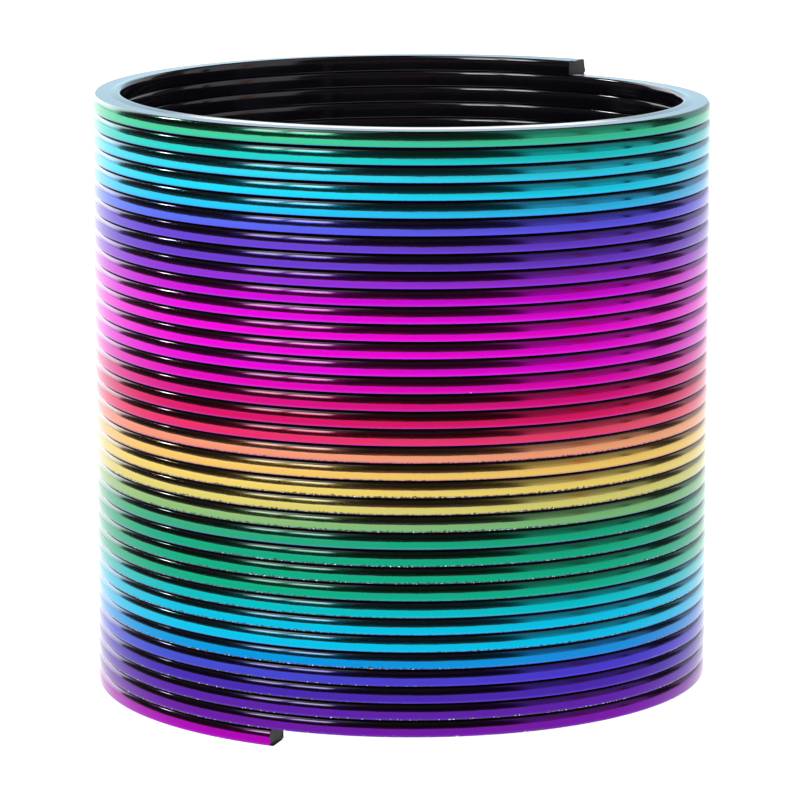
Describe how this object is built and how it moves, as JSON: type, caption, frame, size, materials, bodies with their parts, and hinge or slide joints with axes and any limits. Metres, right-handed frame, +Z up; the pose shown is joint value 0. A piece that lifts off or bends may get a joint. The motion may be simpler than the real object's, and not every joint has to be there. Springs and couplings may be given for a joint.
{
  "type": "spring coil toy",
  "caption": "Closed plastic spring coil with a rainbow metallised outer face, which stretches upwards and arches over to either side.",
  "frame": {"origin": "on the surface that the coil stands on, at the middle of its bounding box", "axes": "+Z up along the axis of the coil, +Y away from the front, +X to the right; the coil arches in the XZ plane"},
  "size_m": [0.075, 0.075, 0.0736],
  "materials": {
    "film_magenta": "gloss",
    "film_purple": "gloss",
    "film_violet": "gloss",
    "film_blue": "gloss",
    "film_cyan": "gloss",
    "film_teal": "gloss",
    "film_green": "gloss",
    "film_lime": "gloss",
    "film_yellow": "gloss",
    "film_orange": "gloss",
    "film_red": "gloss",
    "film_pink": "gloss"
  },
  "bodies": {
    "bottom_turns": {"bottom_turns": "film_violet"},
    "half_turn_01": {"half_turn_01": "film_blue"},
    "half_turn_02": {"half_turn_02": "film_cyan"},
    "half_turn_03": {"half_turn_03": "film_cyan"},
    "half_turn_04": {"half_turn_04": "film_cyan"},
    "half_turn_05": {"half_turn_05": "film_teal"},
    "half_turn_06": {"half_turn_06": "film_teal"},
    "half_turn_07": {"half_turn_07": "film_teal"},
    "half_turn_08": {"half_turn_08": "film_green"},
    "half_turn_09": {"half_turn_09": "film_green"},
    "half_turn_10": {"half_turn_10": "film_green"},
    "half_turn_11": {"half_turn_11": "film_green"},
    "half_turn_12": {"half_turn_12": "film_green"},
    "half_turn_13": {"half_turn_13": "film_green"},
    "half_turn_14": {"half_turn_14": "film_lime"},
    "half_turn_15": {"half_turn_15": "film_lime"},
    "half_turn_16": {"half_turn_16": "film_lime"},
    "half_turn_17": {"half_turn_17": "film_yellow"},
    "half_turn_18": {"half_turn_18": "film_yellow"},
    "half_turn_19": {"half_turn_19": "film_yellow"},
    "half_turn_20": {"half_turn_20": "film_yellow"},
    "half_turn_21": {"half_turn_21": "film_yellow"},
    "half_turn_22": {"half_turn_22": "film_yellow"},
    "half_turn_23": {"half_turn_23": "film_orange"},
    "half_turn_24": {"half_turn_24": "film_orange"},
    "half_turn_25": {"half_turn_25": "film_orange"},
    "half_turn_26": {"half_turn_26": "film_red"},
    "half_turn_27": {"half_turn_27": "film_red"},
    "half_turn_28": {"half_turn_28": "film_red"},
    "half_turn_29": {"half_turn_29": "film_red"},
    "half_turn_30": {"half_turn_30": "film_red"},
    "half_turn_31": {"half_turn_31": "film_red"},
    "half_turn_32": {"half_turn_32": "film_red"},
    "half_turn_33": {"half_turn_33": "film_pink"},
    "half_turn_34": {"half_turn_34": "film_pink"},
    "half_turn_35": {"half_turn_35": "film_pink"},
    "half_turn_36": {"half_turn_36": "film_pink"},
    "half_turn_37": {"half_turn_37": "film_pink"},
    "half_turn_38": {"half_turn_38": "film_pink"},
    "half_turn_39": {"half_turn_39": "film_pink"},
    "half_turn_40": {"half_turn_40": "film_pink"},
    "half_turn_41": {"half_turn_41": "film_pink"},
    "half_turn_42": {"half_turn_42": "film_pink"},
    "half_turn_43": {"half_turn_43": "film_pink"},
    "half_turn_44": {"half_turn_44": "film_purple"},
    "half_turn_45": {"half_turn_45": "film_purple"},
    "half_turn_46": {"half_turn_46": "film_purple"},
    "half_turn_47": {"half_turn_47": "film_violet"},
    "half_turn_48": {"half_turn_48": "film_violet"},
    "half_turn_49": {"half_turn_49": "film_violet"},
    "half_turn_50": {"half_turn_50": "film_cyan"},
    "half_turn_51": {"half_turn_51": "film_cyan"},
    "half_turn_52": {"half_turn_52": "film_cyan"},
    "top_turns": {"top_turns": "film_cyan"}
  },
  "joints": [
    {"name": "left_twist_01", "type": "hinge", "parent": "bottom_turns", "child": "half_turn_01", "pos_m": [-0.03735, 0, 0.01047], "axis": [0, -1, 0], "range_deg": [0, 3.46], "stiffness_Nm_per_rad": 0.07},
    {"name": "right_twist_01", "type": "hinge", "parent": "half_turn_01", "child": "half_turn_02", "pos_m": [0.03735, 0, 0.01148], "axis": [0, 1, 0], "range_deg": [0, 6.92], "stiffness_Nm_per_rad": 0.035},
    {"name": "left_twist_02", "type": "hinge", "parent": "half_turn_02", "child": "half_turn_03", "pos_m": [-0.03735, 0, 0.01249], "axis": [0, -1, 0], "range_deg": [0, 6.92], "stiffness_Nm_per_rad": 0.035},
    {"name": "right_twist_02", "type": "hinge", "parent": "half_turn_03", "child": "half_turn_04", "pos_m": [0.03735, 0, 0.0135], "axis": [0, 1, 0], "range_deg": [0, 6.92], "stiffness_Nm_per_rad": 0.035},
    {"name": "left_twist_03", "type": "hinge", "parent": "half_turn_04", "child": "half_turn_05", "pos_m": [-0.03735, 0, 0.01451], "axis": [0, -1, 0], "range_deg": [0, 6.92], "stiffness_Nm_per_rad": 0.035},
    {"name": "right_twist_03", "type": "hinge", "parent": "half_turn_05", "child": "half_turn_06", "pos_m": [0.03735, 0, 0.01552], "axis": [0, 1, 0], "range_deg": [0, 6.92], "stiffness_Nm_per_rad": 0.035},
    {"name": "left_twist_04", "type": "hinge", "parent": "half_turn_06", "child": "half_turn_07", "pos_m": [-0.03735, 0, 0.01653], "axis": [0, -1, 0], "range_deg": [0, 6.92], "stiffness_Nm_per_rad": 0.035},
    {"name": "right_twist_04", "type": "hinge", "parent": "half_turn_07", "child": "half_turn_08", "pos_m": [0.03735, 0, 0.01754], "axis": [0, 1, 0], "range_deg": [0, 6.92], "stiffness_Nm_per_rad": 0.035},
    {"name": "left_twist_05", "type": "hinge", "parent": "half_turn_08", "child": "half_turn_09", "pos_m": [-0.03735, 0, 0.01855], "axis": [0, -1, 0], "range_deg": [0, 6.92], "stiffness_Nm_per_rad": 0.035},
    {"name": "right_twist_05", "type": "hinge", "parent": "half_turn_09", "child": "half_turn_10", "pos_m": [0.03735, 0, 0.01956], "axis": [0, 1, 0], "range_deg": [0, 6.92], "stiffness_Nm_per_rad": 0.035},
    {"name": "left_twist_06", "type": "hinge", "parent": "half_turn_10", "child": "half_turn_11", "pos_m": [-0.03735, 0, 0.02057], "axis": [0, -1, 0], "range_deg": [0, 6.92], "stiffness_Nm_per_rad": 0.035},
    {"name": "right_twist_06", "type": "hinge", "parent": "half_turn_11", "child": "half_turn_12", "pos_m": [0.03735, 0, 0.02158], "axis": [0, 1, 0], "range_deg": [0, 6.92], "stiffness_Nm_per_rad": 0.035},
    {"name": "left_twist_07", "type": "hinge", "parent": "half_turn_12", "child": "half_turn_13", "pos_m": [-0.03735, 0, 0.02259], "axis": [0, -1, 0], "range_deg": [0, 6.92], "stiffness_Nm_per_rad": 0.035},
    {"name": "right_twist_07", "type": "hinge", "parent": "half_turn_13", "child": "half_turn_14", "pos_m": [0.03735, 0, 0.0236], "axis": [0, 1, 0], "range_deg": [0, 6.92], "stiffness_Nm_per_rad": 0.035},
    {"name": "left_twist_08", "type": "hinge", "parent": "half_turn_14", "child": "half_turn_15", "pos_m": [-0.03735, 0, 0.02461], "axis": [0, -1, 0], "range_deg": [0, 6.92], "stiffness_Nm_per_rad": 0.035},
    {"name": "right_twist_08", "type": "hinge", "parent": "half_turn_15", "child": "half_turn_16", "pos_m": [0.03735, 0, 0.02562], "axis": [0, 1, 0], "range_deg": [0, 6.92], "stiffness_Nm_per_rad": 0.035},
    {"name": "left_twist_09", "type": "hinge", "parent": "half_turn_16", "child": "half_turn_17", "pos_m": [-0.03735, 0, 0.02663], "axis": [0, -1, 0], "range_deg": [0, 6.92], "stiffness_Nm_per_rad": 0.035},
    {"name": "right_twist_09", "type": "hinge", "parent": "half_turn_17", "child": "half_turn_18", "pos_m": [0.03735, 0, 0.02764], "axis": [0, 1, 0], "range_deg": [0, 6.92], "stiffness_Nm_per_rad": 0.035},
    {"name": "left_twist_10", "type": "hinge", "parent": "half_turn_18", "child": "half_turn_19", "pos_m": [-0.03735, 0, 0.02865], "axis": [0, -1, 0], "range_deg": [0, 6.92], "stiffness_Nm_per_rad": 0.035},
    {"name": "right_twist_10", "type": "hinge", "parent": "half_turn_19", "child": "half_turn_20", "pos_m": [0.03735, 0, 0.02966], "axis": [0, 1, 0], "range_deg": [0, 6.92], "stiffness_Nm_per_rad": 0.035},
    {"name": "left_twist_11", "type": "hinge", "parent": "half_turn_20", "child": "half_turn_21", "pos_m": [-0.03735, 0, 0.03067], "axis": [0, -1, 0], "range_deg": [0, 6.92], "stiffness_Nm_per_rad": 0.035},
    {"name": "right_twist_11", "type": "hinge", "parent": "half_turn_21", "child": "half_turn_22", "pos_m": [0.03735, 0, 0.03168], "axis": [0, 1, 0], "range_deg": [0, 6.92], "stiffness_Nm_per_rad": 0.035},
    {"name": "left_twist_12", "type": "hinge", "parent": "half_turn_22", "child": "half_turn_23", "pos_m": [-0.03735, 0, 0.03269], "axis": [0, -1, 0], "range_deg": [0, 6.92], "stiffness_Nm_per_rad": 0.035},
    {"name": "right_twist_12", "type": "hinge", "parent": "half_turn_23", "child": "half_turn_24", "pos_m": [0.03735, 0, 0.0337], "axis": [0, 1, 0], "range_deg": [0, 6.92], "stiffness_Nm_per_rad": 0.035},
    {"name": "left_twist_13", "type": "hinge", "parent": "half_turn_24", "child": "half_turn_25", "pos_m": [-0.03735, 0, 0.03471], "axis": [0, -1, 0], "range_deg": [0, 6.92], "stiffness_Nm_per_rad": 0.035},
    {"name": "right_twist_13", "type": "hinge", "parent": "half_turn_25", "child": "half_turn_26", "pos_m": [0.03735, 0, 0.03572], "axis": [0, 1, 0], "range_deg": [0, 6.92], "stiffness_Nm_per_rad": 0.035},
    {"name": "left_twist_14", "type": "hinge", "parent": "half_turn_26", "child": "half_turn_27", "pos_m": [-0.03735, 0, 0.03673], "axis": [0, -1, 0], "range_deg": [0, 6.92], "stiffness_Nm_per_rad": 0.035},
    {"name": "right_twist_14", "type": "hinge", "parent": "half_turn_27", "child": "half_turn_28", "pos_m": [0.03735, 0, 0.03774], "axis": [0, 1, 0], "range_deg": [0, 6.92], "stiffness_Nm_per_rad": 0.035},
    {"name": "left_twist_15", "type": "hinge", "parent": "half_turn_28", "child": "half_turn_29", "pos_m": [-0.03735, 0, 0.03875], "axis": [0, -1, 0], "range_deg": [0, 6.92], "stiffness_Nm_per_rad": 0.035},
    {"name": "right_twist_15", "type": "hinge", "parent": "half_turn_29", "child": "half_turn_30", "pos_m": [0.03735, 0, 0.03976], "axis": [0, 1, 0], "range_deg": [0, 6.92], "stiffness_Nm_per_rad": 0.035},
    {"name": "left_twist_16", "type": "hinge", "parent": "half_turn_30", "child": "half_turn_31", "pos_m": [-0.03735, 0, 0.04077], "axis": [0, -1, 0], "range_deg": [0, 6.92], "stiffness_Nm_per_rad": 0.035},
    {"name": "right_twist_16", "type": "hinge", "parent": "half_turn_31", "child": "half_turn_32", "pos_m": [0.03735, 0, 0.04178], "axis": [0, 1, 0], "range_deg": [0, 6.92], "stiffness_Nm_per_rad": 0.035},
    {"name": "left_twist_17", "type": "hinge", "parent": "half_turn_32", "child": "half_turn_33", "pos_m": [-0.03735, 0, 0.04279], "axis": [0, -1, 0], "range_deg": [0, 6.92], "stiffness_Nm_per_rad": 0.035},
    {"name": "right_twist_17", "type": "hinge", "parent": "half_turn_33", "child": "half_turn_34", "pos_m": [0.03735, 0, 0.0438], "axis": [0, 1, 0], "range_deg": [0, 6.92], "stiffness_Nm_per_rad": 0.035},
    {"name": "left_twist_18", "type": "hinge", "parent": "half_turn_34", "child": "half_turn_35", "pos_m": [-0.03735, 0, 0.04481], "axis": [0, -1, 0], "range_deg": [0, 6.92], "stiffness_Nm_per_rad": 0.035},
    {"name": "right_twist_18", "type": "hinge", "parent": "half_turn_35", "child": "half_turn_36", "pos_m": [0.03735, 0, 0.04582], "axis": [0, 1, 0], "range_deg": [0, 6.92], "stiffness_Nm_per_rad": 0.035},
    {"name": "left_twist_19", "type": "hinge", "parent": "half_turn_36", "child": "half_turn_37", "pos_m": [-0.03735, 0, 0.04683], "axis": [0, -1, 0], "range_deg": [0, 6.92], "stiffness_Nm_per_rad": 0.035},
    {"name": "right_twist_19", "type": "hinge", "parent": "half_turn_37", "child": "half_turn_38", "pos_m": [0.03735, 0, 0.04784], "axis": [0, 1, 0], "range_deg": [0, 6.92], "stiffness_Nm_per_rad": 0.035},
    {"name": "left_twist_20", "type": "hinge", "parent": "half_turn_38", "child": "half_turn_39", "pos_m": [-0.03735, 0, 0.04885], "axis": [0, -1, 0], "range_deg": [0, 6.92], "stiffness_Nm_per_rad": 0.035},
    {"name": "right_twist_20", "type": "hinge", "parent": "half_turn_39", "child": "half_turn_40", "pos_m": [0.03735, 0, 0.04986], "axis": [0, 1, 0], "range_deg": [0, 6.92], "stiffness_Nm_per_rad": 0.035},
    {"name": "left_twist_21", "type": "hinge", "parent": "half_turn_40", "child": "half_turn_41", "pos_m": [-0.03735, 0, 0.05087], "axis": [0, -1, 0], "range_deg": [0, 6.92], "stiffness_Nm_per_rad": 0.035},
    {"name": "right_twist_21", "type": "hinge", "parent": "half_turn_41", "child": "half_turn_42", "pos_m": [0.03735, 0, 0.05188], "axis": [0, 1, 0], "range_deg": [0, 6.92], "stiffness_Nm_per_rad": 0.035},
    {"name": "left_twist_22", "type": "hinge", "parent": "half_turn_42", "child": "half_turn_43", "pos_m": [-0.03735, 0, 0.05289], "axis": [0, -1, 0], "range_deg": [0, 6.92], "stiffness_Nm_per_rad": 0.035},
    {"name": "right_twist_22", "type": "hinge", "parent": "half_turn_43", "child": "half_turn_44", "pos_m": [0.03735, 0, 0.0539], "axis": [0, 1, 0], "range_deg": [0, 6.92], "stiffness_Nm_per_rad": 0.035},
    {"name": "left_twist_23", "type": "hinge", "parent": "half_turn_44", "child": "half_turn_45", "pos_m": [-0.03735, 0, 0.05491], "axis": [0, -1, 0], "range_deg": [0, 6.92], "stiffness_Nm_per_rad": 0.035},
    {"name": "right_twist_23", "type": "hinge", "parent": "half_turn_45", "child": "half_turn_46", "pos_m": [0.03735, 0, 0.05592], "axis": [0, 1, 0], "range_deg": [0, 6.92], "stiffness_Nm_per_rad": 0.035},
    {"name": "left_twist_24", "type": "hinge", "parent": "half_turn_46", "child": "half_turn_47", "pos_m": [-0.03735, 0, 0.05693], "axis": [0, -1, 0], "range_deg": [0, 6.92], "stiffness_Nm_per_rad": 0.035},
    {"name": "right_twist_24", "type": "hinge", "parent": "half_turn_47", "child": "half_turn_48", "pos_m": [0.03735, 0, 0.05794], "axis": [0, 1, 0], "range_deg": [0, 6.92], "stiffness_Nm_per_rad": 0.035},
    {"name": "left_twist_25", "type": "hinge", "parent": "half_turn_48", "child": "half_turn_49", "pos_m": [-0.03735, 0, 0.05895], "axis": [0, -1, 0], "range_deg": [0, 6.92], "stiffness_Nm_per_rad": 0.035},
    {"name": "right_twist_25", "type": "hinge", "parent": "half_turn_49", "child": "half_turn_50", "pos_m": [0.03735, 0, 0.05996], "axis": [0, 1, 0], "range_deg": [0, 6.92], "stiffness_Nm_per_rad": 0.035},
    {"name": "left_twist_26", "type": "hinge", "parent": "half_turn_50", "child": "half_turn_51", "pos_m": [-0.03735, 0, 0.06097], "axis": [0, -1, 0], "range_deg": [0, 6.92], "stiffness_Nm_per_rad": 0.035},
    {"name": "right_twist_26", "type": "hinge", "parent": "half_turn_51", "child": "half_turn_52", "pos_m": [0.03735, 0, 0.06198], "axis": [0, 1, 0], "range_deg": [0, 6.92], "stiffness_Nm_per_rad": 0.035},
    {"name": "left_twist_27", "type": "hinge", "parent": "half_turn_52", "child": "top_turns", "pos_m": [-0.03735, 0, 0.06299], "axis": [0, -1, 0], "range_deg": [0, 3.46], "stiffness_Nm_per_rad": 0.07}
  ],
  "couplings": [
    {"joint": "left_twist_02", "follows": "left_twist_01", "ratio": 2},
    {"joint": "right_twist_02", "follows": "right_twist_01", "ratio": 1},
    {"joint": "left_twist_03", "follows": "left_twist_01", "ratio": 2},
    {"joint": "right_twist_03", "follows": "right_twist_01", "ratio": 1},
    {"joint": "left_twist_04", "follows": "left_twist_01", "ratio": 2},
    {"joint": "right_twist_04", "follows": "right_twist_01", "ratio": 1},
    {"joint": "left_twist_05", "follows": "left_twist_01", "ratio": 2},
    {"joint": "right_twist_05", "follows": "right_twist_01", "ratio": 1},
    {"joint": "left_twist_06", "follows": "left_twist_01", "ratio": 2},
    {"joint": "right_twist_06", "follows": "right_twist_01", "ratio": 1},
    {"joint": "left_twist_07", "follows": "left_twist_01", "ratio": 2},
    {"joint": "right_twist_07", "follows": "right_twist_01", "ratio": 1},
    {"joint": "left_twist_08", "follows": "left_twist_01", "ratio": 2},
    {"joint": "right_twist_08", "follows": "right_twist_01", "ratio": 1},
    {"joint": "left_twist_09", "follows": "left_twist_01", "ratio": 2},
    {"joint": "right_twist_09", "follows": "right_twist_01", "ratio": 1},
    {"joint": "left_twist_10", "follows": "left_twist_01", "ratio": 2},
    {"joint": "right_twist_10", "follows": "right_twist_01", "ratio": 1},
    {"joint": "left_twist_11", "follows": "left_twist_01", "ratio": 2},
    {"joint": "right_twist_11", "follows": "right_twist_01", "ratio": 1},
    {"joint": "left_twist_12", "follows": "left_twist_01", "ratio": 2},
    {"joint": "right_twist_12", "follows": "right_twist_01", "ratio": 1},
    {"joint": "left_twist_13", "follows": "left_twist_01", "ratio": 2},
    {"joint": "right_twist_13", "follows": "right_twist_01", "ratio": 1},
    {"joint": "left_twist_14", "follows": "left_twist_01", "ratio": 2},
    {"joint": "right_twist_14", "follows": "right_twist_01", "ratio": 1},
    {"joint": "left_twist_15", "follows": "left_twist_01", "ratio": 2},
    {"joint": "right_twist_15", "follows": "right_twist_01", "ratio": 1},
    {"joint": "left_twist_16", "follows": "left_twist_01", "ratio": 2},
    {"joint": "right_twist_16", "follows": "right_twist_01", "ratio": 1},
    {"joint": "left_twist_17", "follows": "left_twist_01", "ratio": 2},
    {"joint": "right_twist_17", "follows": "right_twist_01", "ratio": 1},
    {"joint": "left_twist_18", "follows": "left_twist_01", "ratio": 2},
    {"joint": "right_twist_18", "follows": "right_twist_01", "ratio": 1},
    {"joint": "left_twist_19", "follows": "left_twist_01", "ratio": 2},
    {"joint": "right_twist_19", "follows": "right_twist_01", "ratio": 1},
    {"joint": "left_twist_20", "follows": "left_twist_01", "ratio": 2},
    {"joint": "right_twist_20", "follows": "right_twist_01", "ratio": 1},
    {"joint": "left_twist_21", "follows": "left_twist_01", "ratio": 2},
    {"joint": "right_twist_21", "follows": "right_twist_01", "ratio": 1},
    {"joint": "left_twist_22", "follows": "left_twist_01", "ratio": 2},
    {"joint": "right_twist_22", "follows": "right_twist_01", "ratio": 1},
    {"joint": "left_twist_23", "follows": "left_twist_01", "ratio": 2},
    {"joint": "right_twist_23", "follows": "right_twist_01", "ratio": 1},
    {"joint": "left_twist_24", "follows": "left_twist_01", "ratio": 2},
    {"joint": "right_twist_24", "follows": "right_twist_01", "ratio": 1},
    {"joint": "left_twist_25", "follows": "left_twist_01", "ratio": 2},
    {"joint": "right_twist_25", "follows": "right_twist_01", "ratio": 1},
    {"joint": "left_twist_26", "follows": "left_twist_01", "ratio": 2},
    {"joint": "right_twist_26", "follows": "right_twist_01", "ratio": 1},
    {"joint": "left_twist_27", "follows": "left_twist_01", "ratio": 1}
  ]
}
